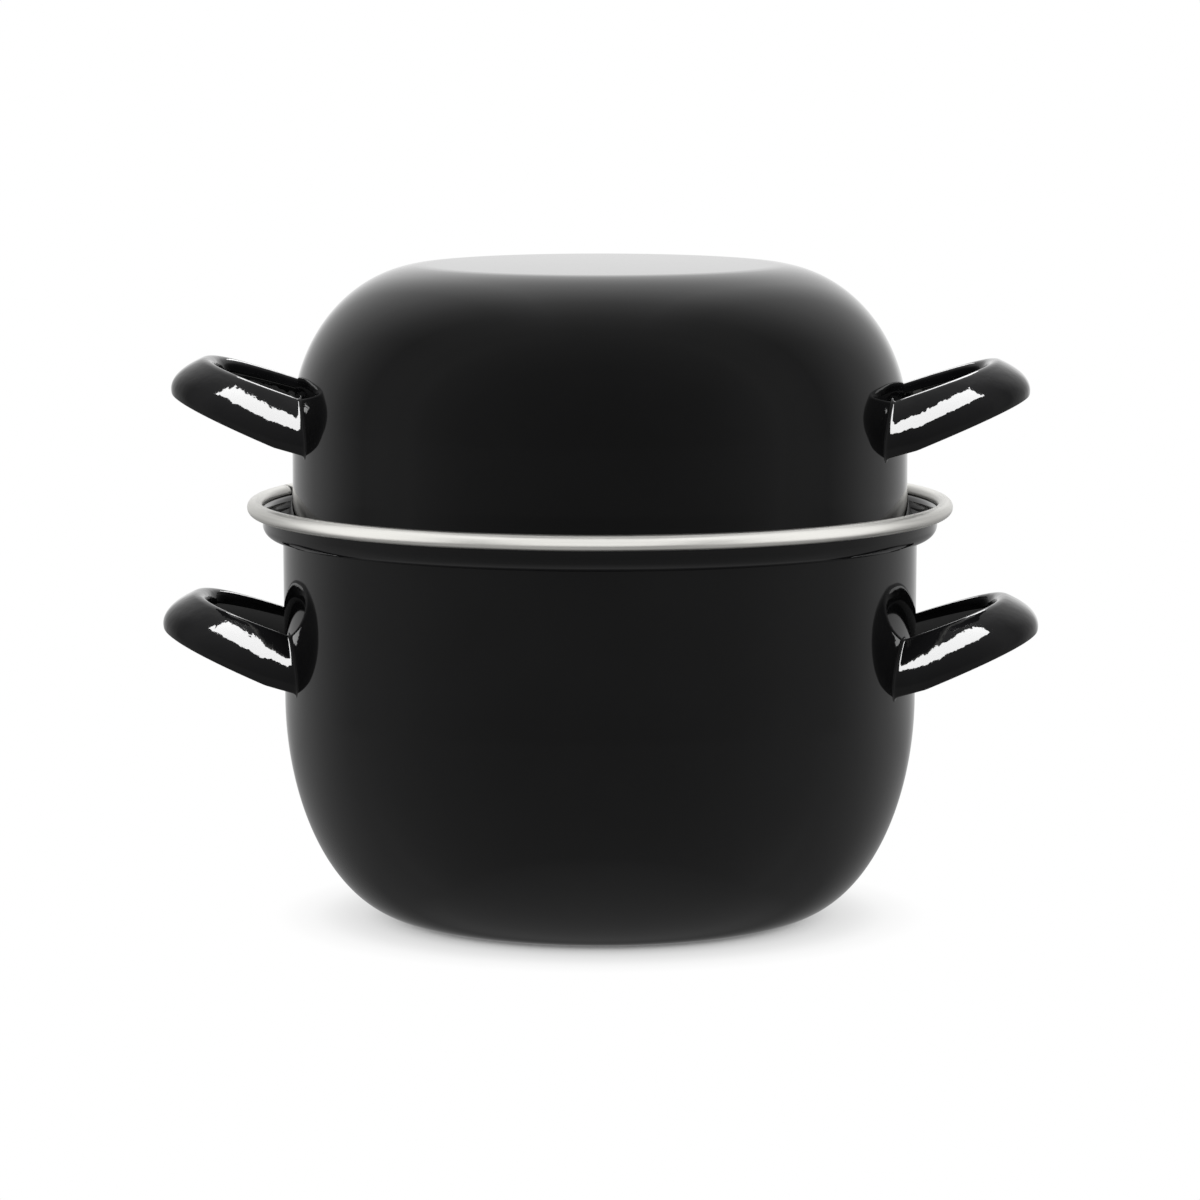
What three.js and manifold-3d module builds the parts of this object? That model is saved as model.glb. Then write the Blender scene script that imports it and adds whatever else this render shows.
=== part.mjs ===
// Mussel pot: a belly pot of enamelled steel with a polished rim strip, and a deep domed lid that turns
// over to make a bowl for the shells. Millimetres, +Z up. The origin is the centre of the pot's base, and
// the loop handles of pot and lid lie along X.
import * as THREE from 'three';
import { mergeVertices } from 'three/addons/utils/BufferGeometryUtils.js';
import Module from 'manifold-3d';

// Sheet and clearances
const SHEET = 1.4; // enamelled steel, both coats included
const WELD_GAP = 0.3; // from a handle's foot to the wall that it is welded to
const SEAT_GAP = 0.3; // from the lid's bead to the ledge that it sits on
const RIM_GAP = 0.3; // from the rim strip to the flange that it is rolled over
const LID_PLAY = 0.8; // from the lid's bead to the inside of the collar

// Pot
const BASE_RADIUS = 64;
const BASE_BEVEL = 2;
const BASE_BEVEL_RISE = 0.6;
const BELLY_HEIGHT = 77.4; // from the bevel up to the widest part
const WALL_HEIGHT = 55.7; // from the widest part up to the collar
const WALL_RADIUS = 110.4; // just under the collar
const WALL_TAPER = 0.4; // how much narrower the wall is at its foot
const COLLAR_LAND = 2.6; // flat strip between the wall and the collar's round
const COLLAR_ROUND = 4.4;
const COLLAR_RISE = 3.1; // upright part of the collar
const FLANGE_BEND = 0.8;
const FLANGE_TURN = THREE.MathUtils.degToRad(60); // how far the flange leans out

// Rim strip
const RIM_STRIP = 0.5; // thickness of the strip
const RIM_ROOM = 1.5; // from the flange's faces to the inside of the strip
const RIM_STANDOFF = 1.2; // from the collar to the strip's lower lip
const RIM_SEAM = 0.4; // width of the butt seam
const RIM_SEAM_STEP = 18; // the seam's place, in steps of the turned outline

// Lid
const LID_BEAD = 2.2; // radius of the rolled edge
const LID_LAND = 2.4; // flat strip inside the bead, over the pot's ledge
const LID_BEND = 2; // radius of the bend from that strip up to the flare
const LID_FLARE = 30; // radius of the gentle flare at the foot of the wall
const LID_FLARE_TURN = THREE.MathUtils.degToRad(20); // how far the flare leans out
const LID_WALL_HEIGHT = 21.6; // straight part, from the flare up to the dome
const LID_DOME_HEIGHT = 55.16; // of the ellipse that the flat disc cuts off
const LID_DISC_RADIUS = 62;
const LID_DISC_INSET = 3.4; // from the disc's edge in to the top of that ellipse

// Loop handles, one pressing for all four
const HANDLE_REACH = 42.2; // from the wall to the tip
const HANDLE_HOLE_REACH = 27; // from the wall to the far end of the finger hole
const HANDLE_WIDTH = 80; // over the outer edges at the wall
const HANDLE_CREST_WIDTH = 62; // from crest to crest at the wall
const HANDLE_ROOT_DEPTH = 17.2;
const HANDLE_TIP_DEPTH = 11.6;
const HANDLE_RISE = THREE.MathUtils.degToRad(18.8);
const HANDLE_TUCK = THREE.MathUtils.degToRad(12); // how far the outer edge turns under
const HANDLE_SQUARENESS = 2.6; // 2 is an ellipse in plan, more is squarer
const HANDLE_ROOT_LIP = 0.2; // inner radius of the finger hole's round edge at the wall
const HANDLE_TIP_LIP = 2.2;
const HANDLE_ROOT_SLOPE = THREE.MathUtils.degToRad(40); // fall of the flank where it leaves that edge
const HANDLE_TIP_SLOPE = THREE.MathUtils.degToRad(24);
const HANDLE_LIP_DROP = 1.6; // straight part below the round
const HANDLE_SINK = 4; // how far the untrimmed legs run into the wall
const POT_HANDLE_HEIGHT = 102.8; // crest at the wall, above the base
const LID_HANDLE_HEIGHT = 47.3; // crest at the wall, above the bead

// Fineness of the facets
const ROUND_STEPS = 40;
const CURVE_STEPS = 9;
const CORNER_STEPS = 4;
const BEND_STEPS = 3;
const BEAD_STEPS = 9;
const RIM_STEPS = 10;
const HANDLE_STEPS = 24;
const FLANK_STEPS = 6;
const MERGE_TOLERANCE = 1e-4;

const QUARTER = Math.PI / 2;

const wasm = await Module();
wasm.setup();

// Points of an ellipse's arc about a centre, both ends included. Angles run from +X towards +Y.
function arc(centreX, centreY, radiusX, radiusY, start, end, steps) {
  return Array.from({ length: steps + 1 }, (_, step) => {
    const angle = start + ((end - start) * step) / steps;
    return new THREE.Vector2(centreX + radiusX * Math.cos(angle), centreY + radiusY * Math.sin(angle));
  });
}

// A path moved sideways by the same distance all along, to the left of the way it runs.
function offsetPath(points, distance) {
  const normals = points.slice(1).map((point, index) => {
    const along = point.clone().sub(points[index]).normalize();
    return new THREE.Vector2(-along.y, along.x);
  });
  return points.map((point, index) => {
    const before = normals[Math.max(index - 1, 0)];
    const after = normals[Math.min(index, normals.length - 1)];
    const mitre = before.clone().add(after).multiplyScalar(distance / (1 + before.dot(after)));
    return point.clone().add(mitre);
  });
}

// A solid turned about Z from an outline of radius and height that starts and ends on the axis.
function turned(outline) {
  return new THREE.LatheGeometry(outline, ROUND_STEPS).rotateX(QUARTER);
}

// A bent sheet: stations along its run, each with matching points on its near and far faces.
function sheetAlong(stations) {
  const width = stations[0].near.length;
  const ring = 2 * width;
  const rings = stations.map(({ near, far }) => [...near, ...far.toReversed()]);
  const faces = [];
  const addQuad = (a, b, c, d) => faces.push(a, b, c, a, c, d);
  for (let station = 0; station + 1 < rings.length; station += 1) {
    const here = station * ring;
    for (let point = 0; point < ring; point += 1) {
      const next = (point + 1) % ring;
      addQuad(here + point, here + next, here + ring + next, here + ring + point);
    }
  }
  const last = (rings.length - 1) * ring;
  for (let point = 0; point + 1 < width; point += 1) {
    const across = ring - 1 - point;
    addQuad(point, across, across - 1, point + 1);
    addQuad(last + point, last + point + 1, last + across - 1, last + across);
  }
  const geometry = new THREE.BufferGeometry().setFromPoints(rings.flat());
  geometry.setIndex(faces);
  return geometry;
}

// A closed mesh as a solid that can be joined and cut.
function solidOf(geometry) {
  const bare = geometry.clone();
  bare.deleteAttribute('normal');
  bare.deleteAttribute('uv');
  const merged = mergeVertices(bare, MERGE_TOLERANCE);
  const corners = merged.index.array;
  const triangles = [];
  for (let first = 0; first < corners.length; first += 3) {
    const [a, b, c] = corners.slice(first, first + 3);
    if (a !== b && b !== c && c !== a) triangles.push(a, b, c);
  }
  return new wasm.Manifold(new wasm.Mesh({
    numProp: 3,
    vertProperties: Float32Array.from(merged.attributes.position.array),
    triVerts: Uint32Array.from(triangles),
  }));
}

function geometryOf(solid) {
  const { vertProperties, triVerts } = solid.getMesh();
  const geometry = new THREE.BufferGeometry();
  geometry.setAttribute('position', new THREE.BufferAttribute(vertProperties, 3));
  geometry.setIndex(new THREE.BufferAttribute(triVerts, 1));
  geometry.computeVertexNormals();
  return geometry;
}

// Places that several pieces share
const bellyRadius = WALL_RADIUS - WALL_TAPER;
const bellyTop = BASE_BEVEL_RISE + BELLY_HEIGHT;
const ledgeHeight = bellyTop + WALL_HEIGHT;
const roundCentre = new THREE.Vector2(WALL_RADIUS + COLLAR_LAND, ledgeHeight + COLLAR_ROUND);
const collarRadius = roundCentre.x + COLLAR_ROUND;
const collarTop = roundCentre.y + COLLAR_RISE;
const rimInside = SHEET / 2 + RIM_ROOM;
const rimOutside = rimInside + RIM_STRIP;
const rimLipAngle = Math.asin((SHEET / 2 + RIM_GAP) / rimInside);
const rimOpening = Math.PI + QUARTER - FLANGE_TURN;
const flangeWay = new THREE.Vector2(Math.sin(FLANGE_TURN), Math.cos(FLANGE_TURN));
const flangeUp = new THREE.Vector2(-Math.cos(FLANGE_TURN), Math.sin(FLANGE_TURN));
const flangeCentre = new THREE.Vector2(collarRadius + FLANGE_BEND, collarTop);
const flangeMiddle = flangeCentre.clone().addScaledVector(flangeUp, FLANGE_BEND + SHEET / 2);
const rimRadius = collarRadius + RIM_STANDOFF - rimOutside * Math.cos(rimOpening + rimLipAngle);
const rimRun = (rimRadius - flangeMiddle.x) / flangeWay.x;
const rimCentre = flangeMiddle.clone().addScaledVector(flangeWay, rimRun);
const flangeRun = rimRun + Math.sqrt((rimInside - RIM_GAP) ** 2 - (SHEET / 2) ** 2);
const beadRadius = collarRadius - SHEET - LID_PLAY - LID_BEAD;
const lidFlareOut = LID_FLARE * (1 - Math.cos(LID_FLARE_TURN));
const lidWallRadius = beadRadius - LID_LAND - LID_BEND * Math.cos(LID_FLARE_TURN) - lidFlareOut;

// Outside of the pot's sheet, from the centre of the base up to the edge of the flange
function potOutside() {
  const bellyCentre = BASE_RADIUS + BASE_BEVEL;
  const bellyWidth = bellyRadius - bellyCentre;
  const belly = arc(bellyCentre, bellyTop, bellyWidth, BELLY_HEIGHT, -QUARTER, 0, CURVE_STEPS);
  const bendEnd = Math.PI - FLANGE_TURN;
  const bend = arc(flangeCentre.x, flangeCentre.y, FLANGE_BEND, FLANGE_BEND, Math.PI, bendEnd, BEND_STEPS);
  return [
    new THREE.Vector2(0, 0),
    new THREE.Vector2(BASE_RADIUS, 0),
    ...belly,
    new THREE.Vector2(WALL_RADIUS, ledgeHeight),
    ...arc(roundCentre.x, roundCentre.y, COLLAR_ROUND, COLLAR_ROUND, -QUARTER, 0, CORNER_STEPS),
    ...bend,
    bend.at(-1).clone().addScaledVector(flangeWay, flangeRun),
  ];
}

// Outside of the lid's sheet, from the centre of its disc down to the top of the bead
function lidOutside() {
  const bendCentre = new THREE.Vector2(beadRadius - LID_LAND, LID_BEAD + LID_BEND);
  const flareTop = bendCentre.y + (LID_FLARE - LID_BEND) * Math.sin(LID_FLARE_TURN);
  const flareEnd = Math.PI + LID_FLARE_TURN;
  const flareCentre = lidWallRadius + LID_FLARE;
  const flare = arc(flareCentre, flareTop, LID_FLARE, LID_FLARE, Math.PI, flareEnd, CORNER_STEPS);
  const bend = arc(bendCentre.x, bendCentre.y, LID_BEND, LID_BEND, flareEnd, Math.PI + QUARTER, BEND_STEPS);
  const domeFoot = flareTop + LID_WALL_HEIGHT;
  const domeCentre = LID_DISC_RADIUS - LID_DISC_INSET;
  const domeWidth = lidWallRadius - domeCentre;
  const domeStart = Math.acos(LID_DISC_INSET / domeWidth);
  const dome = arc(domeCentre, domeFoot, domeWidth, LID_DOME_HEIGHT, domeStart, 0, CURVE_STEPS);
  return [
    new THREE.Vector2(0, dome[0].y),
    ...dome,
    ...flare,
    ...bend.slice(1),
    new THREE.Vector2(beadRadius, LID_BEAD),
  ];
}

function potBody() {
  const outside = potOutside();
  const inside = offsetPath(outside, SHEET);
  return turned([...outside, ...inside.toReversed()]);
}

// The strip's open section closes round the flange, and its two ends meet at the butt seam.
function potRim() {
  const start = rimOpening - rimLipAngle;
  const end = rimOpening + rimLipAngle - 2 * Math.PI;
  const near = arc(rimCentre.x, rimCentre.y, rimOutside, rimOutside, start, end, RIM_STEPS);
  const far = arc(rimCentre.x, rimCentre.y, rimInside, rimInside, start, end, RIM_STEPS);
  const stepAngle = (2 * Math.PI) / ROUND_STEPS;
  const halfSeam = RIM_SEAM / 2 / rimCentre.x;
  const stations = Array.from({ length: ROUND_STEPS + 1 }, (_, step) => {
    const shift = step === 0 ? halfSeam : step === ROUND_STEPS ? -halfSeam : 0;
    const angle = (RIM_SEAM_STEP + step) * stepAngle + shift;
    const [cosine, sine] = [Math.cos(angle), Math.sin(angle)];
    const place = (point) => new THREE.Vector3(point.x * cosine, point.x * sine, point.y);
    return { near: near.map(place), far: far.map(place) };
  });
  return sheetAlong(stations);
}

// The underside of the land ends where it runs into the rolled bead.
function lidShell() {
  const outside = lidOutside();
  const inside = offsetPath(outside, -SHEET);
  const beadStart = Math.PI - Math.asin((LID_BEAD - SHEET) / LID_BEAD);
  const bead = arc(beadRadius, 0, LID_BEAD, LID_BEAD, beadStart, 2 * Math.PI + QUARTER, BEAD_STEPS);
  return turned([...inside.slice(0, -1), ...bead, ...outside.toReversed().slice(1)]);
}

// Height of the lid's bead above the base when it sits in the collar's inner corner
function lidSeat() {
  const room = COLLAR_ROUND - SHEET - LID_BEAD - SEAT_GAP;
  const reach = beadRadius - roundCentre.x;
  const drop = reach > 0 ? Math.sqrt(Math.max(room ** 2 - reach ** 2, 0)) : room;
  return roundCentre.y - drop;
}

// A point of the loop in plan: x is out from the wall, y is along it.
function loopPoint(turn, reach, halfWidth, sink) {
  const power = 2 / HANDLE_SQUARENESS;
  const out = Math.abs(Math.cos(turn)) ** power * (reach + sink) - sink;
  const side = Math.sign(turn) * Math.abs(Math.sin(turn)) ** power * halfWidth;
  return new THREE.Vector2(out, side);
}

// The pressing's top face across the band, from the lip of the finger hole to the outer edge.
// x is out from the crest and y is up from it.
function bandProfile(spread, depth, lip, slope) {
  const round = arc(0, -lip, lip, lip, Math.PI, QUARTER - slope, BEND_STEPS);
  const start = round.at(-1);
  const end = new THREE.Vector2(spread, -depth);
  const leaving = new THREE.Vector2(Math.cos(slope), -Math.sin(slope));
  const arriving = new THREE.Vector2(-Math.sin(HANDLE_TUCK), -Math.cos(HANDLE_TUCK));
  const run = end.clone().sub(start).cross(arriving) / leaving.cross(arriving);
  const corner = start.clone().addScaledVector(leaving, run);
  const flank = new THREE.QuadraticBezierCurve(start, corner, end);
  return [
    new THREE.Vector2(-lip, -lip - HANDLE_LIP_DROP),
    ...round,
    ...flank.getPoints(FLANK_STEPS).slice(1),
  ];
}

function handleStation(turn, wallRadius, crestHeight, sink) {
  const crestReach = HANDLE_HOLE_REACH + SHEET + HANDLE_TIP_LIP;
  const crest = loopPoint(turn, crestReach, HANDLE_CREST_WIDTH / 2, sink);
  const edge = loopPoint(turn, HANDLE_REACH, HANDLE_WIDTH / 2, sink);
  const outward = edge.clone().sub(crest);
  const share = Math.max(crest.x, 0) / crestReach;
  const depth = THREE.MathUtils.lerp(HANDLE_ROOT_DEPTH, HANDLE_TIP_DEPTH, share);
  const lip = SHEET + THREE.MathUtils.lerp(HANDLE_ROOT_LIP, HANDLE_TIP_LIP, share);
  const slope = THREE.MathUtils.lerp(HANDLE_ROOT_SLOPE, HANDLE_TIP_SLOPE, share);
  const top = crestHeight + Math.tan(HANDLE_RISE) * crest.x;
  const near = bandProfile(outward.length(), depth, lip, slope);
  const far = offsetPath(near, -SHEET);
  const along = outward.clone().normalize();
  const place = (point) => new THREE.Vector3(
    wallRadius + crest.x + along.x * point.x,
    crest.y + along.y * point.x,
    top + point.y,
  );
  return { near: near.map(place), far: far.map(place) };
}

// A loop handle on the +X side, its legs trimmed to the wall that they are welded to
function handle(wallRadius, crestHeight, wall) {
  const halfWidth = HANDLE_WIDTH / 2;
  const sink = HANDLE_SINK + wallRadius - Math.sqrt(wallRadius ** 2 - halfWidth ** 2);
  const stations = Array.from({ length: HANDLE_STEPS + 1 }, (_, step) => {
    const turn = Math.PI * (step / HANDLE_STEPS - 1 / 2);
    return handleStation(turn, wallRadius, crestHeight, sink);
  });
  return geometryOf(solidOf(sheetAlong(stations)).subtract(wall));
}

// Everything inside the pot's wall and the weld gap on it
function potWall() {
  const outside = offsetPath(potOutside(), -WELD_GAP);
  const wall = outside.filter((point) => point.y < ledgeHeight);
  return solidOf(turned([...wall, new THREE.Vector2(0, wall.at(-1).y)]));
}

// Everything inside the lid's dome and wall and the weld gap on them
function lidWall() {
  const outside = offsetPath(lidOutside(), WELD_GAP);
  const wall = outside.filter((point) => point.y > LID_BEAD + LID_BEND).toReversed();
  return solidOf(turned([new THREE.Vector2(0, wall[0].y), ...wall]));
}

const enamel = new THREE.MeshStandardMaterial({ color: 0x121213, roughness: 0.12, metalness: 0 });
const polishedSteel = new THREE.MeshStandardMaterial({ color: 0xd8d6d2, roughness: 0.15, metalness: 1 });

function piece(name, geometry, material) {
  const mesh = new THREE.Mesh(geometry, material);
  mesh.name = name;
  return mesh;
}

// The same handle on both sides: the left one is turned half way round.
function handlePair(owner, geometry) {
  const right = piece(`${owner}_handle_right`, geometry, enamel);
  const left = piece(`${owner}_handle_left`, geometry, enamel);
  left.rotation.z = Math.PI;
  return [left, right];
}

const pot = new THREE.Group();
pot.add(piece('pot_body', potBody(), enamel));
pot.add(piece('pot_rim', potRim(), polishedSteel));
pot.add(...handlePair('pot', handle(WALL_RADIUS, POT_HANDLE_HEIGHT, potWall())));

const lid = new THREE.Group();
lid.position.z = lidSeat();
lid.add(piece('lid_shell', lidShell(), enamel));
lid.add(...handlePair('lid', handle(lidWallRadius, LID_HANDLE_HEIGHT, lidWall())));

const musselPot = new THREE.Group();
musselPot.add(pot, lid);

export default musselPot;
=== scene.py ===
"""Looks of the mussel pot: finer meshes over the CAD frame, enamel and polished steel, a pale studio.

The pot's outlines are in millimetres and turned into metres as each mesh is made. Floor, lights and camera
are in metres. +Z is up, the origin is the centre of the pot's base and the handles lie along X.
"""
import math

import bpy
import numpy as np
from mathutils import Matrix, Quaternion, Vector


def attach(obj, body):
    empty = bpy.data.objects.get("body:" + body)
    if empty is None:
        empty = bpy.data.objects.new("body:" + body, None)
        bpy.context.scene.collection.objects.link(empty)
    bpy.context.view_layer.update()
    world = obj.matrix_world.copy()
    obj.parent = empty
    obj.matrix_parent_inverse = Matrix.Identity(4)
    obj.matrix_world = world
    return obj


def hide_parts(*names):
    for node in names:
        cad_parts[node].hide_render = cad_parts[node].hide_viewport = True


MM = 0.001
TINY = 1e-6
QUARTER = math.pi / 2
SHEET = 1.4

# Pot
BASE_RADIUS = 64.0
BASE_BEVEL = 2.0
BASE_BEVEL_RISE = 0.6
BASE_SOFT = 0.7
BELLY_HEIGHT = 77.4
WALL_HEIGHT = 55.7
WALL_RADIUS = 110.4
WALL_TAPER = 0.4
COLLAR_SOFT = 0.6
COLLAR_LAND = 2.6
COLLAR_ROUND = 4.4
COLLAR_RISE = 3.1
FLANGE_BEND = 0.8
FLANGE_TURN = math.radians(60)

# Rim strip
RIM_STRIP = 0.5
RIM_ROOM = 1.5
RIM_STANDOFF = 1.2
RIM_GAP = 0.3
RIM_SEAM = 0.4
RIM_SEAM_ANGLE = math.radians(162)

# Lid
LID_PLAY = 0.8
SEAT_GAP = 0.3
LID_BEAD = 2.2
LID_LAND = 2.4
LID_BEND = 2.0
LID_FLARE = 30.0
LID_FLARE_TURN = math.radians(20)
LID_WALL_HEIGHT = 21.6
LID_DOME_HEIGHT = 55.16
LID_DISC_RADIUS = 62.0
LID_DISC_INSET = 3.4
LID_DISC_SOFT = 2.5

# Handles
SIDES = (("left", -1), ("right", 1))
HANDLE_REACH = 42.12  # a shade less than the solid's, whose facets cut the round tip short
HANDLE_HOLE_REACH = 27.0
HANDLE_WIDTH = 80.0
HANDLE_CREST_WIDTH = 62.0
HANDLE_ROOT_DEPTH = 17.2
HANDLE_TIP_DEPTH = 11.6
HANDLE_RISE = math.radians(18.8)
HANDLE_TUCK = math.radians(12)
HANDLE_SQUARENESS = 2.6
HANDLE_ROOT_LIP = 0.2
HANDLE_TIP_LIP = 2.2
HANDLE_ROOT_SLOPE = math.radians(40)
HANDLE_TIP_SLOPE = math.radians(24)
HANDLE_LIP_DROP = 1.6
HANDLE_SINK = 4.0
POT_HANDLE_HEIGHT = 102.8
LID_HANDLE_HEIGHT = 47.3
WELD_FILLET = 1.3
UNDER_FILLET = 0.4
WELD_SINK = 0.5

# Fineness
ROUND_STEPS = 288
CURVE_STEPS = 56
RIM_STEPS = 48
BEAD_STEPS = 24
BEND_STEPS = 12
SOFT_STEPS = 6
HANDLE_STEPS = 128
FLANK_STEPS = 30
CAP_STEPS = 6
DROP_STEPS = 4
FILLET_STEPS = 5
PATH_STEPS = 1600

# Materials, with the least and the greatest of each value that a noise drives
NOISE_RANGE = (0.3, 0.7)
ENAMEL_IOR = 1.5
ENAMEL_ROUGHNESS = (0.035, 0.06)
CLOUD_SCALE = 35.0
RIPPLE_SCALE = 260.0
BODY_TINTS = ((0.006, 0.006, 0.0064), (0.009, 0.009, 0.0096))
BODY_RIPPLE = 0.000004
# Painted shade: the handles' copy of the enamel is written darker than the body's, against the extra light
# of the lamps that light only the handles
HANDLE_SHADED_TINTS = ((0.002, 0.002, 0.0022), (0.004, 0.004, 0.0043))
HANDLE_RIPPLE = 0.0001
STEEL_TINTS = ((0.86, 0.85, 0.81), (0.92, 0.91, 0.87))
STEEL_ROUGHNESS = (0.3, 0.4)
STEEL_LINE_SCALE = 900.0
STEEL_LINE_STRETCH = (0.03, 0.03, 1.6)

# Floor
FLOOR_RADIUS = 0.5
FLOOR_SIDES = 96
FLOOR_DROP = 0.0001
FLOOR_GREY = (0.75, 0.75, 0.75, 1)
FLOOR_ROUGHNESS = 0.6
# Painted contact shadow on the floor's glow: how far and how finely ambient occlusion looks for the pot
PAINTED_SHADOW_REACH = 0.03
PAINTED_SHADOW_SAMPLES = 24

# Studio, with fades over a part of the direction looked in: over Z at the horizon, over Y for sides and far
WHITE = (1, 1, 1, 1)
WHOLE_FADE = (-1.0, 1.0)
HORIZON_FADE = (-0.2, -0.06)
SIDES_FADE = (-0.3, 0.1)
FAR_FADE = (0.1, 0.6)

# Lights, with the places of those that light the right side's handles
LIGHT_TARGET = (0, 0, 0.15)
SOFTBOX_SIZE = (0.95, 0.38)
SOFTBOX_RADIANCE = 21.0
SOFTBOX_PLACE = (0.17, -0.5, 1.02)
SOFTBOX_ROLL = math.radians(34)
CARD_SIZE = (0.5, 0.7)
CARD_RADIANCE = 7.0
CARD_PLACE = (-0.15, 0.9, 1.0)
SCREEN_SIZE = (2.2, 4.0)
SCREEN_RADIANCE = 0.75
SCREEN_DISTANCE = 1.6
SCREEN_HEIGHT = 0.5
SCREEN_TURN = math.radians(75)

# Camera
CAMERA_TARGET = (0, 0, 0.1106)
CAMERA_DISTANCE = 1.949
CAMERA_RISE = math.radians(6.97)
CAMERA_TURN = math.radians(2.7)
CAMERA_LENS = 167.4
CAMERA_SENSOR = 36

# Places that several pieces share
belly_radius = WALL_RADIUS - WALL_TAPER
belly_centre = BASE_RADIUS + BASE_BEVEL
belly_width = belly_radius - belly_centre
belly_top = BASE_BEVEL_RISE + BELLY_HEIGHT
ledge_height = belly_top + WALL_HEIGHT
round_centre = (WALL_RADIUS + COLLAR_LAND, ledge_height + COLLAR_ROUND)
collar_radius = round_centre[0] + COLLAR_ROUND
collar_top = round_centre[1] + COLLAR_RISE
rim_inside = SHEET / 2 + RIM_ROOM
rim_outside = rim_inside + RIM_STRIP
rim_lip_angle = math.asin((SHEET / 2 + RIM_GAP) / rim_inside)
rim_opening = math.pi + QUARTER - FLANGE_TURN
flange_way = np.array((math.sin(FLANGE_TURN), math.cos(FLANGE_TURN)))
flange_up = np.array((-math.cos(FLANGE_TURN), math.sin(FLANGE_TURN)))
flange_centre = np.array((collar_radius + FLANGE_BEND, collar_top))
flange_middle = flange_centre + flange_up * (FLANGE_BEND + SHEET / 2)
rim_radius = collar_radius + RIM_STANDOFF - rim_outside * math.cos(rim_opening + rim_lip_angle)
rim_run = (rim_radius - flange_middle[0]) / flange_way[0]
rim_centre = flange_middle + flange_way * rim_run
flange_run = rim_run + math.sqrt((rim_inside - RIM_GAP) ** 2 - (SHEET / 2) ** 2)
bead_radius = collar_radius - SHEET - LID_PLAY - LID_BEAD
lid_flare_out = LID_FLARE * (1 - math.cos(LID_FLARE_TURN))
lid_wall_radius = bead_radius - LID_LAND - LID_BEND * math.cos(LID_FLARE_TURN) - lid_flare_out
seat_room = COLLAR_ROUND - SHEET - LID_BEAD - SEAT_GAP
lid_seat = round_centre[1] - math.sqrt(seat_room**2 - max(bead_radius - round_centre[0], 0) ** 2)
lid_bend_centre = (bead_radius - LID_LAND, LID_BEAD + LID_BEND)
lid_flare_top = lid_bend_centre[1] + (LID_FLARE - LID_BEND) * math.sin(LID_FLARE_TURN)
lid_dome_foot = lid_flare_top + LID_WALL_HEIGHT
lid_dome_centre = LID_DISC_RADIUS - LID_DISC_INSET
lid_dome_width = lid_wall_radius - lid_dome_centre
lid_dome_start = math.acos(LID_DISC_INSET / lid_dome_width)
lid_disc_top = lid_dome_foot + LID_DOME_HEIGHT * math.sin(lid_dome_start)
lid_crest = lid_seat + LID_HANDLE_HEIGHT


def arc(centre, radius_x, radius_y, start, end, steps):
    """Points of an ellipse's arc, both ends included."""
    angles = np.linspace(start, end, steps + 1)
    across = centre[0] + radius_x * np.cos(angles)
    up = centre[1] + radius_y * np.sin(angles)
    return np.column_stack((across, up))


def offset(path, distance):
    """A path moved to the left of the way it runs, with mitred corners."""
    along = np.diff(path, axis=0)
    along /= np.linalg.norm(along, axis=1)[:, None]
    normals = np.column_stack((-along[:, 1], along[:, 0]))
    before = np.vstack((normals[:1], normals))
    after = np.vstack((normals, normals[-1:]))
    return path + (before + after) * (distance / (1 + (before * after).sum(axis=1)))[:, None]


def bent(start, corner, end, steps):
    """Points of a smooth bend from start to end round a corner, both ends included."""
    way = np.linspace(0, 1, steps + 1)[:, None]
    return start * (1 - way) ** 2 + 2 * corner * way * (1 - way) + end * way**2


def half_round(start, end, steps):
    """Points between two, ends left out, on a half circle to the left of the way from start to end."""
    middle = (start + end) / 2
    radius = (start - end) / 2
    side = np.array((radius[1], -radius[0]))
    angles = np.linspace(0, math.pi, steps + 2)[1:-1, None]
    return middle + radius * np.cos(angles) + side * np.sin(angles)


def lengths(path):
    """Distance run along a path at each of its points."""
    return np.concatenate(([0.0], np.cumsum(np.linalg.norm(np.diff(path, axis=0), axis=1))))


def at(path, run, places):
    """Points at the given distances along a path."""
    return np.column_stack([np.interp(places, run, path[:, axis]) for axis in range(path.shape[1])])


def nearest(path, point):
    """Index of the path's point that lies nearest to a point."""
    return int(np.argmin(np.linalg.norm(path - np.asarray(point), axis=1)))


def soften(path, corner, size):
    """The path with the corner nearest to a point replaced by a smooth bend of that size."""
    index = nearest(path, corner)
    run = lengths(path)
    low = max(run[index] - size, 0)
    high = min(run[index] + size, run[-1])
    ends = at(path, run, [low, high])
    bend = bent(ends[0], path[index], ends[1], SOFT_STEPS)
    return np.vstack((path[run < low - TINY], bend, path[run > high + TINY]))


def new_object(name, points, faces):
    """A smooth-shaded mesh object from points in millimetres."""
    mesh = bpy.data.meshes.new(name)
    mesh.from_pydata((np.asarray(points) * MM).tolist(), [], faces)
    mesh.validate()
    mesh.shade_smooth()
    obj = bpy.data.objects.new(name, mesh)
    bpy.context.scene.collection.objects.link(obj)
    return obj


def spun(section, angles):
    """Points of a section of radius and height, turned about Z to each angle."""
    points = np.empty((len(angles), len(section), 3))
    points[:, :, 0] = np.cos(angles)[:, None] * section[:, 0]
    points[:, :, 1] = np.sin(angles)[:, None] * section[:, 0]
    points[:, :, 2] = section[:, 1]
    return points


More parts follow.
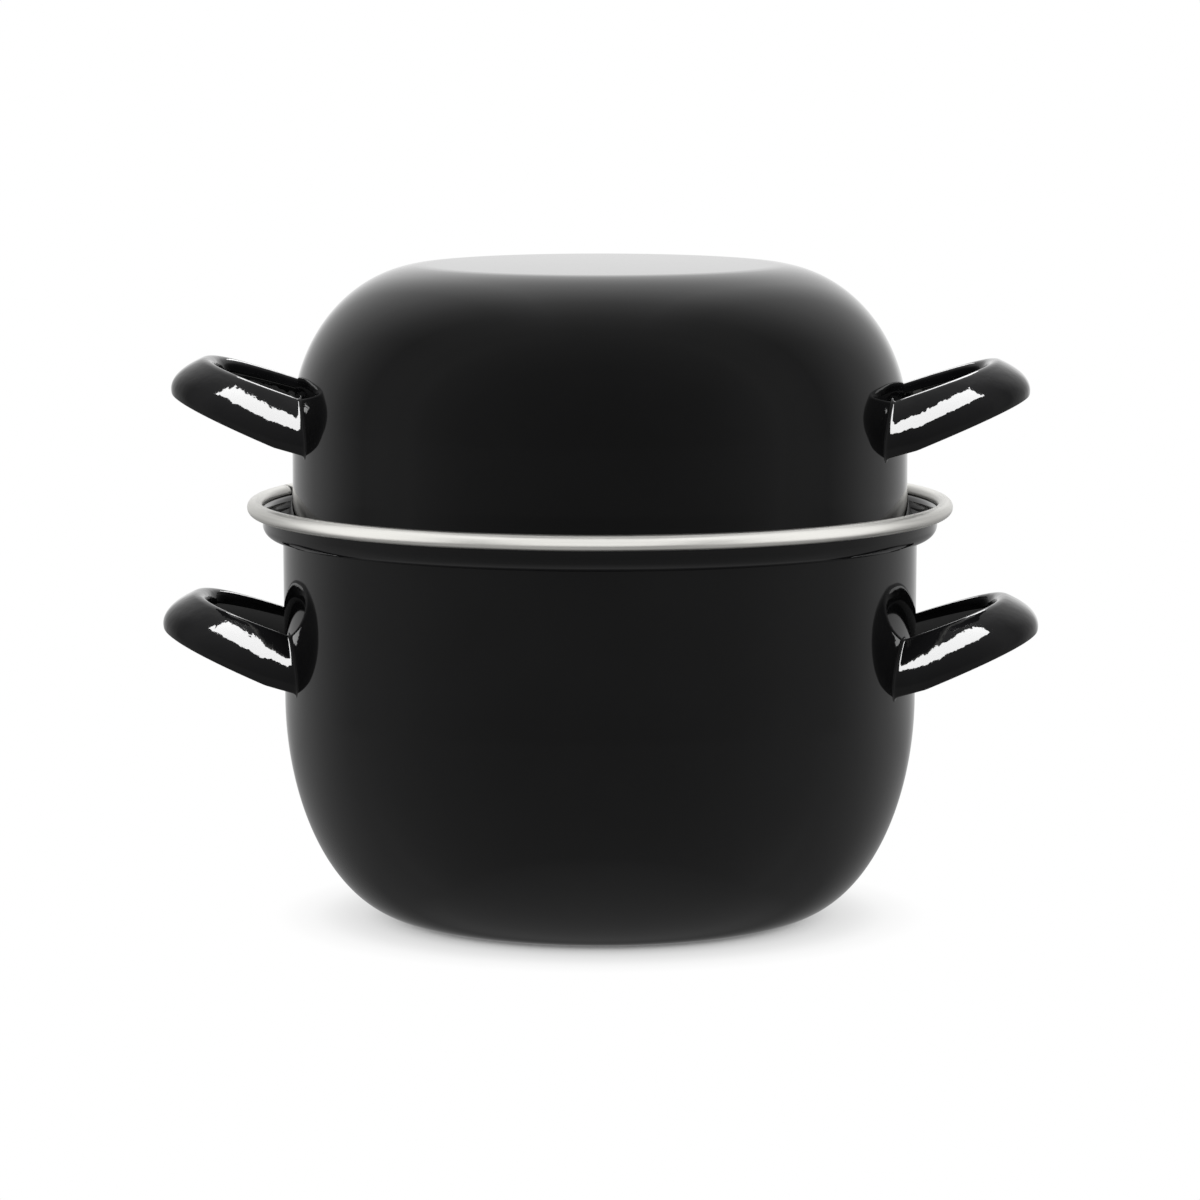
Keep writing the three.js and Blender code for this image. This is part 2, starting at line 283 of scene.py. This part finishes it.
def turned(name, outline, lift=0.0):
    """A solid turned about Z from an outline of radius and height that starts and ends on the axis."""
    outline = outline + (0, lift)
    angles = np.linspace(0, 2 * math.pi, ROUND_STEPS, endpoint=False)
    rings = spun(outline[1:-1], angles)
    count = rings.shape[1]
    ends = [(0, 0, outline[0, 1]), (0, 0, outline[-1, 1])]
    points = np.vstack((rings.reshape(-1, 3), ends))
    first = ROUND_STEPS * count
    faces = []
    for step in range(ROUND_STEPS):
        here = step * count
        there = (step + 1) % ROUND_STEPS * count
        faces.append((first, there, here))
        faces.append((first + 1, here + count - 1, there + count - 1))
        for point in range(count - 1):
            faces.append((here + point, there + point, there + point + 1, here + point + 1))
    return new_object(name, points, faces)


def tube_faces(rings, size):
    """Quads between closed rings of points that follow each other."""
    faces = []
    for ring in range(rings - 1):
        here = ring * size
        for point in range(size):
            after = (point + 1) % size
            faces.append((here + point, here + after, here + size + after, here + size + point))
    return faces


def sheet_ends(rings, size, width, cap):
    """Faces that close the first and last ring of a sheet whose edges are rounded."""
    faces = []
    for base, turn in ((0, -1), ((rings - 1) * size, 1)):
        far = base + 2 * width + cap - 1
        for point in range(width - 1):
            faces.append((base + point, base + point + 1, far - point - 1, far - point)[::turn])
        outer = [base + width - 1 + step for step in range(cap + 2)]
        inner = [far + step for step in range(cap + 1)] + [base]
        faces.append(tuple(outer[::turn]))
        faces.append(tuple(inner[::turn]))
    return faces


def pot_outside():
    """Outside of the pot's sheet, from the centre of the base up to the edge of the flange."""
    base = ((0, 0), (BASE_RADIUS, 0))
    belly = arc((belly_centre, belly_top), belly_width, BELLY_HEIGHT, -QUARTER, 0, CURVE_STEPS)
    ledge = (WALL_RADIUS, ledge_height)
    collar = arc(round_centre, COLLAR_ROUND, COLLAR_ROUND, -QUARTER, 0, BEND_STEPS)
    bend = arc(flange_centre, FLANGE_BEND, FLANGE_BEND, math.pi, math.pi - FLANGE_TURN, SOFT_STEPS)
    flange = bend[-1] + flange_way * flange_run
    return np.vstack((base, belly, ledge, collar, bend, flange))


def lid_outside():
    """Outside of the lid's sheet, from the centre of its disc down to the top of the bead."""
    dome_middle = (lid_dome_centre, lid_dome_foot)
    dome = arc(dome_middle, lid_dome_width, LID_DOME_HEIGHT, lid_dome_start, 0, CURVE_STEPS)
    flare_centre = (lid_wall_radius + LID_FLARE, lid_flare_top)
    flare_end = math.pi + LID_FLARE_TURN
    flare = arc(flare_centre, LID_FLARE, LID_FLARE, math.pi, flare_end, BEND_STEPS)
    bend = arc(lid_bend_centre, LID_BEND, LID_BEND, flare_end, math.pi + QUARTER, BEND_STEPS)
    return np.vstack(((0, lid_disc_top), dome, flare, bend[1:], (bead_radius, LID_BEAD)))


def make_pot_body():
    """Both sides of the sheet, with the corners at the base and under the collar softened."""
    sharp_outside = pot_outside()
    sharp_inside = offset(sharp_outside, SHEET)
    outside = sharp_outside
    inside = sharp_inside
    for corner, size in (
        ((BASE_RADIUS, 0), BASE_SOFT),
        ((belly_centre, BASE_BEVEL_RISE), BASE_SOFT),
        ((WALL_RADIUS, ledge_height), COLLAR_SOFT),
    ):
        inner_corner = sharp_inside[nearest(sharp_outside, corner)]
        outside = soften(outside, corner, size)
        inside = soften(inside, inner_corner, size)
    return turned("pot_body_fine", np.vstack((outside, inside[::-1])))


def make_pot_rim():
    """The strip's open section closed round the flange, its two ends meeting at the butt seam."""
    start = rim_opening - rim_lip_angle
    end = rim_opening + rim_lip_angle - 2 * math.pi
    near = arc(rim_centre, rim_outside, rim_outside, start, end, RIM_STEPS)
    far = arc(rim_centre, rim_inside, rim_inside, start, end, RIM_STEPS)
    lower = half_round(near[-1], far[-1], CAP_STEPS)
    upper = half_round(far[0], near[0], CAP_STEPS)
    ring = np.vstack((near, lower, far[::-1], upper))
    half_seam = RIM_SEAM / 2 / rim_centre[0]
    angles = np.linspace(half_seam, 2 * math.pi - half_seam, ROUND_STEPS + 1) + RIM_SEAM_ANGLE
    faces = tube_faces(len(angles), len(ring))
    faces += sheet_ends(len(angles), len(ring), len(near), CAP_STEPS)
    return new_object("pot_rim_fine", spun(ring, angles).reshape(-1, 3), faces)


def make_lid_shell():
    """The dome and its rolled bead. The underside of the land ends where it runs into the bead."""
    outside = lid_outside()
    inside = offset(outside, -SHEET)
    outside = soften(outside, (LID_DISC_RADIUS, lid_disc_top), LID_DISC_SOFT)
    inside = soften(inside[:-1], (LID_DISC_RADIUS, lid_disc_top - SHEET), LID_DISC_SOFT)
    bead_start = math.pi - math.asin((LID_BEAD - SHEET) / LID_BEAD)
    bead = arc((bead_radius, 0), LID_BEAD, LID_BEAD, bead_start, 2 * math.pi + QUARTER, BEAD_STEPS)
    return turned("lid_shell_fine", np.vstack((inside, bead, outside[::-1][1:])), lid_seat)


def pot_wall(height):
    """Outside radius of the pot at a height."""
    share = np.clip((belly_top - height) / BELLY_HEIGHT, 0, 1)
    belly = belly_centre + belly_width * np.sqrt(1 - share**2)
    wall = belly_radius + WALL_TAPER * (height - belly_top) / WALL_HEIGHT
    return np.where(height < belly_top, belly, wall)


def lid_wall(height):
    """Outside radius of the lid at a height above the base."""
    share = np.clip((height - lid_seat - lid_dome_foot) / LID_DOME_HEIGHT, 0, 1)
    return lid_dome_centre + lid_dome_width * np.sqrt(1 - share**2)


def loop_points(turns, reach, half_width, sink):
    """The loop in plan: out from the wall, and along it."""
    power = 2 / HANDLE_SQUARENESS
    out = np.abs(np.cos(turns)) ** power * (reach + sink) - sink
    side = np.sign(turns) * np.abs(np.sin(turns)) ** power * half_width
    return np.column_stack((out, side))


def band_ring(spread, depth, lip, slope):
    """Closed section of the pressing and the number of points on its top face, which come first."""
    down = np.linspace(1, 0, DROP_STEPS, endpoint=False)
    drop = np.column_stack((np.full(DROP_STEPS, -lip), -lip - HANDLE_LIP_DROP * down))
    crest = arc((0, -lip), lip, lip, math.pi, QUARTER - slope, BEND_STEPS)
    start = crest[-1]
    end = np.array((spread, -depth))
    leaving = np.array((math.cos(slope), -math.sin(slope)))
    inward = np.array((math.cos(HANDLE_TUCK), -math.sin(HANDLE_TUCK)))
    corner = start + leaving * ((end - start) @ inward) / (leaving @ inward)
    near = np.vstack((drop, crest, bent(start, corner, end, FLANK_STEPS)[1:]))
    far = offset(near, -SHEET)
    outer = half_round(near[-1], far[-1], CAP_STEPS)
    inner = half_round(far[0], near[0], CAP_STEPS)
    return np.vstack((near, outer, far[::-1], inner)), len(near)


def handle_lines(wall_radius, crest_height):
    """Lines along the loop, one for each point of its section, and the number on its top face."""
    half_width = HANDLE_WIDTH / 2
    sink = HANDLE_SINK + wall_radius - math.sqrt(wall_radius**2 - half_width**2)
    turns = np.linspace(-QUARTER, QUARTER, PATH_STEPS + 1)
    crest_reach = HANDLE_HOLE_REACH + SHEET + HANDLE_TIP_LIP
    crests = loop_points(turns, crest_reach, HANDLE_CREST_WIDTH / 2, sink)
    edges = loop_points(turns, HANDLE_REACH, half_width, sink)
    rings = []
    for crest, edge in zip(crests, edges):
        outward = edge - crest
        spread = np.linalg.norm(outward)
        share = max(crest[0], 0) / crest_reach
        depth = HANDLE_ROOT_DEPTH + (HANDLE_TIP_DEPTH - HANDLE_ROOT_DEPTH) * share
        lip = SHEET + HANDLE_ROOT_LIP + (HANDLE_TIP_LIP - HANDLE_ROOT_LIP) * share
        slope = HANDLE_ROOT_SLOPE + (HANDLE_TIP_SLOPE - HANDLE_ROOT_SLOPE) * share
        ring, width = band_ring(spread, depth, lip, slope)
        plan = crest + ring[:, :1] * outward / spread
        top = crest_height + math.tan(HANDLE_RISE) * crest[0]
        rings.append(np.column_stack((wall_radius + plan[:, 0], plan[:, 1], top + ring[:, 1])))
    return np.array(rings).transpose(1, 0, 2), width


def make_handle(name, wall_radius, crest_height, wall, sign):
    """A loop handle whose legs end in small fillets on the wall, turned half round for the left side."""
    lines, width = handle_lines(wall_radius, crest_height)
    size = len(lines)
    under = range(width + CAP_STEPS, 2 * width + CAP_STEPS)
    fillets = [UNDER_FILLET if point in under else WELD_FILLET for point in range(size)]
    runs = [wall_run(line, wall) for line in lines]
    shares = np.linspace(0, 1, HANDLE_STEPS + 1)
    body = np.empty((HANDLE_STEPS + 1, size, 3))
    for point, (path, fillet) in enumerate(zip(runs, fillets)):
        run = lengths(path)
        body[:, point] = at(path, run, fillet + (run[-1] - 2 * fillet) * shares)
    start = root_rings(np.array([path[0] for path in runs]), body[0], fillets, wall)
    end = root_rings(np.array([path[-1] for path in runs]), body[-1], fillets, wall)
    rings = np.concatenate((start[::-1], body, end)) * (sign, sign, 1)
    faces = tube_faces(len(rings), size) + sheet_ends(len(rings), size, width, CAP_STEPS)
    return new_object(name, rings.reshape(-1, 3), faces)


def crossing(outer, inner, outer_room, inner_room):
    """Where the way from a point outside the wall to one inside it meets the wall."""
    return outer + (inner - outer) * outer_room / (outer_room - inner_room)


def wall_run(line, wall):
    """The part of a line outside the wall, with its two ends on the wall."""
    room = np.hypot(line[:, 0], line[:, 1]) - wall(line[:, 2])
    outside = np.flatnonzero(room > 0)
    first = outside[0]
    last = outside[-1]
    low = crossing(line[first], line[first - 1], room[first], room[first - 1])
    high = crossing(line[last], line[last + 1], room[last], room[last + 1])
    return np.vstack((low, line[first : last + 1], high))


def wall_normals(points, wall):
    """Outward directions of the wall at points on it."""
    step = 0.05
    slope = (wall(points[:, 2] + step) - wall(points[:, 2] - step)) / (2 * step)
    around = np.hypot(points[:, 0], points[:, 1])
    normals = np.column_stack((points[:, 0] / around, points[:, 1] / around, -slope))
    return normals / np.linalg.norm(normals, axis=1)[:, None]


def root_rings(feet, last, fillets, wall):
    """Rings from a leg's last one out to the wall in a hollow fillet, then a little way into it."""
    normals = wall_normals(feet, wall)
    around = np.roll(feet, -1, axis=0) - np.roll(feet, 1, axis=0)
    away = np.cross(around, last - feet)
    probe = len(away) // 8  # a point on the top face, where outward is away from the middle
    if (away[probe] * (feet[probe] - feet.mean(axis=0))).sum() < 0:
        away = -away
    away -= normals * (away * normals).sum(axis=1)[:, None]
    away /= np.linalg.norm(away, axis=1)[:, None]
    toes = feet + away * np.array(fillets)[:, None]
    rings = [bent(*ends, FILLET_STEPS)[1:] for ends in zip(last, feet, toes)]
    return np.concatenate((np.array(rings).transpose(1, 0, 2), [toes - normals * WELD_SINK]))


def add(tree, kind, **inputs):
    """A node with its unlinked inputs set."""
    node = tree.nodes.new(kind)
    for key, value in inputs.items():
        node.inputs[key.replace("_", " ")].default_value = value
    return node


def ramp(tree, stops):
    """A colour ramp, from places and the grey levels or colours there."""
    node = add(tree, "ShaderNodeValToRGB")
    elements = node.color_ramp.elements
    while len(elements) < len(stops):
        elements.new(0.5)
    for element, (place, level) in zip(elements, stops):
        element.position = place
        element.color = (*level, 1) if isinstance(level, tuple) else (level, level, level, 1)
    return node


def noise_ramp(tree, ends):
    """A colour ramp over the range that a noise fills."""
    return ramp(tree, list(zip(NOISE_RANGE, ends)))


def mixer(tree, blend_type, factor=0.5):
    """A node that mixes two colours."""
    node = add(tree, "ShaderNodeMix")
    node.data_type = "RGBA"
    node.blend_type = blend_type
    node.inputs["Factor"].default_value = factor
    return node


def fade(tree, value, ends):
    """How far a value has come from the first end to the last, from 0 to 1."""
    node = add(tree, "ShaderNodeMapRange", From_Min=ends[0], From_Max=ends[1])
    tree.links.new(value, node.inputs["Value"])
    return node.outputs["Result"]


def new_material(name):
    """A material with its node tree, shader and output."""
    material = bpy.data.materials.new(name)
    material.use_nodes = True
    tree = material.node_tree
    return material, tree, tree.nodes["Principled BSDF"], tree.nodes["Material Output"]


def make_enamel(name, tints, ripple_depth):
    """Glossy black enamel with a faint cloudiness and the slight ripple of a fired coat."""
    material, tree, shader, _ = new_material(name)
    shader.inputs["IOR"].default_value = ENAMEL_IOR
    where = add(tree, "ShaderNodeTexCoord")
    cloud = add(tree, "ShaderNodeTexNoise", Scale=CLOUD_SCALE, Detail=3.0)
    tint = noise_ramp(tree, tints)
    gloss = noise_ramp(tree, ENAMEL_ROUGHNESS)
    ripple = add(tree, "ShaderNodeTexNoise", Scale=RIPPLE_SCALE, Detail=2.0)
    bump = add(tree, "ShaderNodeBump", Distance=ripple_depth)
    link = tree.links.new
    link(where.outputs["Object"], cloud.inputs["Vector"])
    link(where.outputs["Object"], ripple.inputs["Vector"])
    link(cloud.outputs["Fac"], tint.inputs["Fac"])
    link(cloud.outputs["Fac"], gloss.inputs["Fac"])
    link(tint.outputs["Color"], shader.inputs["Base Color"])
    link(gloss.outputs["Color"], shader.inputs["Roughness"])
    link(ripple.outputs["Fac"], bump.inputs["Height"])
    link(bump.outputs["Normal"], shader.inputs["Normal"])
    return material


def make_steel():
    """Polished stainless strip with fine rolling lines along it."""
    material, tree, shader, _ = new_material("rim_steel")
    shader.inputs["Metallic"].default_value = 1.0
    where = add(tree, "ShaderNodeTexCoord")
    lines = add(tree, "ShaderNodeTexNoise", Scale=STEEL_LINE_SCALE, Detail=2.0)
    stretch = add(tree, "ShaderNodeMapping", Scale=STEEL_LINE_STRETCH)
    tint = noise_ramp(tree, STEEL_TINTS)
    gloss = noise_ramp(tree, STEEL_ROUGHNESS)
    link = tree.links.new
    link(where.outputs["Object"], stretch.inputs["Vector"])
    link(stretch.outputs["Vector"], lines.inputs["Vector"])
    link(lines.outputs["Fac"], tint.inputs["Fac"])
    link(lines.outputs["Fac"], gloss.inputs["Fac"])
    link(tint.outputs["Color"], shader.inputs["Base Color"])
    link(gloss.outputs["Color"], shader.inputs["Roughness"])
    return material


def make_floor_white():
    """Pale grey to the light. To the camera it glows white, with a painted contact shadow from ambient
    occlusion where the pot is close.
    """
    material, tree, shader, output = new_material("floor_white")
    shader.inputs["Base Color"].default_value = FLOOR_GREY
    shader.inputs["Roughness"].default_value = FLOOR_ROUGHNESS
    path = add(tree, "ShaderNodeLightPath")
    near = add(tree, "ShaderNodeAmbientOcclusion", Distance=PAINTED_SHADOW_REACH)
    near.samples = PAINTED_SHADOW_SAMPLES
    # Painted contact shadow: the glow the camera sees is darkened by ambient occlusion where the pot is
    # close
    shade = ramp(tree, [(0.0, 0.08), (0.03, 0.25), (0.08, 0.5), (0.25, 0.72), (0.6, 0.93), (0.9, 1.0)])
    painted_shadow_glow = add(tree, "ShaderNodeEmission")
    mix = add(tree, "ShaderNodeMixShader")
    link = tree.links.new
    link(near.outputs["AO"], shade.inputs["Fac"])
    link(shade.outputs["Color"], painted_shadow_glow.inputs["Color"])
    link(path.outputs["Is Camera Ray"], mix.inputs["Fac"])
    link(shader.outputs["BSDF"], mix.inputs[1])
    link(painted_shadow_glow.outputs["Emission"], mix.inputs[2])
    link(mix.outputs["Shader"], output.inputs["Surface"])
    return material


def make_floor():
    """A round floor just under the pot, left out of reflections."""
    bpy.ops.mesh.primitive_circle_add(
        vertices=FLOOR_SIDES, radius=FLOOR_RADIUS, fill_type="NGON", location=(0, 0, -FLOOR_DROP)
    )
    floor = bpy.context.object
    floor.name = "floor"
    floor.data.materials.append(make_floor_white())
    floor.visible_glossy = False
    floor.visible_shadow = False


def studio_ground(tree, parts, depth, height):
    """The studio below the horizon: darker low down behind the pot, lighter straight below it."""
    ground = ramp(tree, [(0.0, 0.2), (0.35, 0.26), (0.6, 0.28), (0.8, 0.35)])
    deep = ramp(tree, [(0.2, 0.45), (0.4, 1.0)])
    below = ramp(tree, [(0.0, 0.37), (0.1, 0.27), (0.25, 0.0)])
    sunk = mixer(tree, "MULTIPLY")
    lighter = mixer(tree, "LIGHTEN", 1.0)
    link = tree.links.new
    link(depth, ground.inputs["Fac"])
    link(height, deep.inputs["Fac"])
    link(height, below.inputs["Fac"])
    link(fade(tree, parts.outputs["Y"], FAR_FADE), sunk.inputs["Factor"])
    link(ground.outputs["Color"], sunk.inputs["A"])
    link(deep.outputs["Color"], sunk.inputs["B"])
    link(sunk.outputs["Result"], lighter.inputs["A"])
    link(below.outputs["Color"], lighter.inputs["B"])
    return lighter.outputs["Result"]


def studio_walls(tree, parts, depth):
    """The studio above the horizon: white behind the pot, dimmer at its sides and towards the camera."""
    front = [(0.0, 0.14), (0.165, 0.18), (0.3, 0.24), (0.4, 0.3)]
    back = [(0.5, 0.41), (0.645, 0.68), (0.73, 0.9), (0.8, 1.0)]
    walls = ramp(tree, front + back)
    sides = ramp(tree, [(0.2, 1.0), (0.38, 0.68), (0.75, 0.4)])
    aside = add(tree, "ShaderNodeMath")
    aside.operation = "ABSOLUTE"
    dimmed = mixer(tree, "MULTIPLY")
    link = tree.links.new
    link(depth, walls.inputs["Fac"])
    link(parts.outputs["X"], aside.inputs[0])
    link(aside.outputs["Value"], sides.inputs["Fac"])
    link(fade(tree, parts.outputs["Y"], SIDES_FADE), dimmed.inputs["Factor"])
    link(walls.outputs["Color"], dimmed.inputs["A"])
    link(sides.outputs["Color"], dimmed.inputs["B"])
    return dimmed.outputs["Result"]


def make_world():
    """A studio that is plain white to the camera, and graded where it lights the pot and is mirrored."""
    world = bpy.data.worlds.new("studio")
    bpy.context.scene.world = world
    world.use_nodes = True
    tree = world.node_tree
    studio = tree.nodes["Background"]
    seen = add(tree, "ShaderNodeBackground", Color=WHITE)
    where = add(tree, "ShaderNodeTexCoord")
    parts = add(tree, "ShaderNodeSeparateXYZ")
    level = mixer(tree, "MIX")
    path = add(tree, "ShaderNodeLightPath")
    mix = add(tree, "ShaderNodeMixShader")
    depth = fade(tree, parts.outputs["Y"], WHOLE_FADE)
    height = fade(tree, parts.outputs["Z"], WHOLE_FADE)
    link = tree.links.new
    link(where.outputs["Generated"], parts.inputs["Vector"])
    link(fade(tree, parts.outputs["Z"], HORIZON_FADE), level.inputs["Factor"])
    link(studio_ground(tree, parts, depth, height), level.inputs["A"])
    link(studio_walls(tree, parts, depth), level.inputs["B"])
    link(level.outputs["Result"], studio.inputs["Color"])
    link(path.outputs["Is Camera Ray"], mix.inputs["Fac"])
    link(studio.outputs["Background"], mix.inputs[1])
    link(seen.outputs["Background"], mix.inputs[2])
    link(mix.outputs["Shader"], tree.nodes["World Output"].inputs["Surface"])


def make_area_light(name, size, radiance, place, lit, roll=0.0):
    """A flat light aimed at the pot, which lights only the given pieces."""
    width, height = size
    light = bpy.data.lights.new(name, "AREA")
    light.shape = "RECTANGLE"
    light.size = width
    light.size_y = height
    light.energy = radiance * math.pi * width * height
    lamp = bpy.data.objects.new(name, light)
    lamp.location = place
    aim = (Vector(LIGHT_TARGET) - lamp.location).to_track_quat("-Z", "Y")
    lamp.rotation_euler = (aim @ Quaternion((0, 0, 1), roll)).to_euler()
    lamp.visible_camera = False
    bpy.context.scene.collection.objects.link(lamp)
    receivers = bpy.data.collections.new(f"{name}_lit")
    for obj in lit:
        receivers.objects.link(obj)
    lamp.light_linking.receiver_collection = receivers


def make_side_lights(name, size, radiance, place, handles, roll=0.0):
    """The same light mirrored for each side, which lights only that side's handles."""
    for side, sign in SIDES:
        lit = [obj for obj in handles if side in obj.name]
        mirrored = (sign * place[0], place[1], place[2])
        make_area_light(f"{name}_{side}", size, radiance, mirrored, lit, sign * roll)


def make_handle_lights(handles):
    """Softboxes above in front, seen as white streaks, and cards behind, seen as a line along the crest."""
    make_side_lights("softbox", SOFTBOX_SIZE, SOFTBOX_RADIANCE, SOFTBOX_PLACE, handles, SOFTBOX_ROLL)
    make_side_lights("back_card", CARD_SIZE, CARD_RADIANCE, CARD_PLACE, handles)


def make_screens(rim):
    """Broad pale screens round the front, which the rim strip mirrors."""
    for side, angle in (("left", -SCREEN_TURN), ("front", 0.0), ("right", SCREEN_TURN)):
        x = SCREEN_DISTANCE * math.sin(angle)
        y = -SCREEN_DISTANCE * math.cos(angle)
        make_area_light(f"screen_{side}", SCREEN_SIZE, SCREEN_RADIANCE, (x, y, SCREEN_HEIGHT), [rim])


def make_camera():
    """A long lens, looking a little down on the pot from a little to the right."""
    target = Vector(CAMERA_TARGET)
    flat = CAMERA_DISTANCE * math.cos(CAMERA_RISE)
    rise = CAMERA_DISTANCE * math.sin(CAMERA_RISE)
    place = target + Vector((flat * math.sin(CAMERA_TURN), -flat * math.cos(CAMERA_TURN), rise))
    data = bpy.data.cameras.new("camera")
    data.lens = CAMERA_LENS
    data.sensor_width = CAMERA_SENSOR
    camera = bpy.data.objects.new("camera", data)
    camera.location = place
    camera.rotation_euler = (target - place).to_track_quat("-Z", "Y").to_euler()
    bpy.context.scene.collection.objects.link(camera)
    bpy.context.scene.camera = camera


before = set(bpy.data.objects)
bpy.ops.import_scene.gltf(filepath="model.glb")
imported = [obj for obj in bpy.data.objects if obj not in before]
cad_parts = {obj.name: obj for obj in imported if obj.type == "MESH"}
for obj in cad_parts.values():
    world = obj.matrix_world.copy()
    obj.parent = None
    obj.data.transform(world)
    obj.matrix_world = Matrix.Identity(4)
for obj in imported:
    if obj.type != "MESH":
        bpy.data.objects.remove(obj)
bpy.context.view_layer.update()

enamel = make_enamel("black_enamel", BODY_TINTS, BODY_RIPPLE)
# Painted shade: the same enamel as the body's, written darker for the handles, which their own lamps light
shaded_handle_enamel = make_enamel("black_enamel_handles", HANDLE_SHADED_TINTS, HANDLE_RIPPLE)
steel = make_steel()
pot_body = make_pot_body()
pot_rim = make_pot_rim()
lid_shell = make_lid_shell()
pieces = [
    (pot_body, "pot_body", "pot", "enamel", enamel),
    (pot_rim, "pot_rim", "pot", "rim_steel", steel),
    (lid_shell, "lid_shell", "lid", "enamel", enamel),
]
handles = []
for owner, radius, crest, wall in (
    ("pot", WALL_RADIUS, POT_HANDLE_HEIGHT, pot_wall),
    ("lid", lid_wall_radius, lid_crest, lid_wall),
):
    for side, sign in SIDES:
        node = f"{owner}_handle_{side}"
        obj = make_handle(f"{node}_fine", radius, crest, wall, sign)
        handles.append(obj)
        pieces.append((obj, node, owner, "enamel", shaded_handle_enamel))
for obj, node, body, slot, material in pieces:
    obj.data.materials.append(material)
    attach(obj, body)
    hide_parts(node)

make_floor()
make_world()
make_handle_lights(handles)
make_screens(pot_rim)
make_camera()
bpy.context.scene.view_settings.view_transform = "Standard"

bpy.context.view_layer.update()
